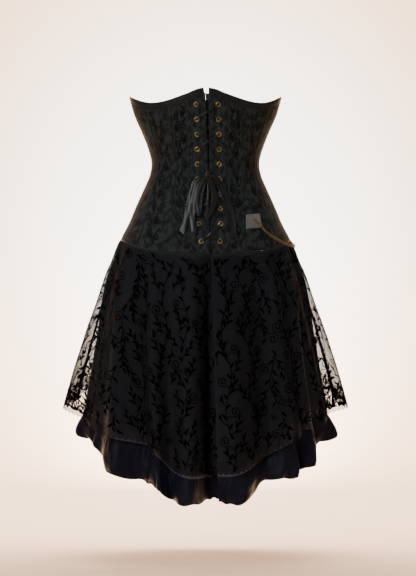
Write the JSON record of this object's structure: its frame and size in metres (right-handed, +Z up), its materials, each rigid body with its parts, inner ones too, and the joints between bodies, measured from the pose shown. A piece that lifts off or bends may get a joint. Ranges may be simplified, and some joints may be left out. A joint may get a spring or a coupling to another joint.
{
  "type": "corset dress",
  "caption": "Underbust corset laced at the back, with a high-low satin skirt, its ruffle and a flared net overlay, filled out as if worn.",
  "frame": {"origin": "centre of the waist, the narrowest level of the corset", "axes": "+Z up the wearer, -Y out of the laced back, +X the wearer's right"},
  "size_m": [0.6243, 0.4217, 0.897],
  "materials": {
    "brocade": "satin-ground brocade with a darker woven scroll",
    "satin": "soft satin",
    "satin_trim": "satin bias strip",
    "net": "see-through net with flocked leaves",
    "lace": "soft lace",
    "ribbon": "satin ribbon",
    "leather_look": "smooth grey leather look",
    "bronze": "aged bronze colour"
  },
  "bodies": {
    "root": {"bottom_piping_left": "satin_trim", "bottom_piping_right": "satin_trim", "bow_knot": "ribbon", "bow_loop_left": "ribbon", "bow_loop_right": "ribbon", "bow_tail_left_inner": "ribbon", "bow_tail_left_outer": "ribbon", "bow_tail_right_inner": "ribbon", "bow_tail_right_outer": "ribbon", "chain_lower": "bronze", "chain_upper": "bronze", "corset_back_side_left": "brocade", "corset_back_side_right": "brocade", "corset_centre_back_left": "brocade", "corset_centre_back_right": "brocade", "corset_centre_front_left": "brocade", "corset_centre_front_right": "brocade", "corset_front_side_left": "brocade", "corset_front_side_right": "brocade", "corset_side_left": "brocade", "corset_side_right": "brocade", "eyelet_left_1": "bronze", "eyelet_left_10": "bronze", "eyelet_left_2": "bronze", "eyelet_left_3": "bronze", "eyelet_left_4": "bronze", "eyelet_left_5": "bronze", "eyelet_left_6": "bronze", "eyelet_left_7": "bronze", "eyelet_left_8": "bronze", "eyelet_left_9": "bronze", "eyelet_right_1": "bronze", "eyelet_right_10": "bronze", "eyelet_right_2": "bronze", "eyelet_right_3": "bronze", "eyelet_right_4": "bronze", "eyelet_right_5": "bronze", "eyelet_right_6": "bronze", "eyelet_right_7": "bronze", "eyelet_right_8": "bronze", "eyelet_right_9": "bronze", "front_grommet": "bronze", "lace_trim_left": "lace", "lace_trim_right": "lace", "lacing_from_left": "ribbon", "lacing_from_right": "ribbon", "modesty_strip": "satin_trim", "overlay_left": "net", "overlay_right": "net", "patch": "leather_look", "patch_grommet": "bronze", "ruffle_left": "satin", "ruffle_right": "satin", "skirt_back_left": "satin", "skirt_back_right": "satin", "skirt_front_left": "satin", "skirt_front_right": "satin", "top_binding_left": "satin_trim", "top_binding_right": "satin_trim"}
  },
  "joints": []
}
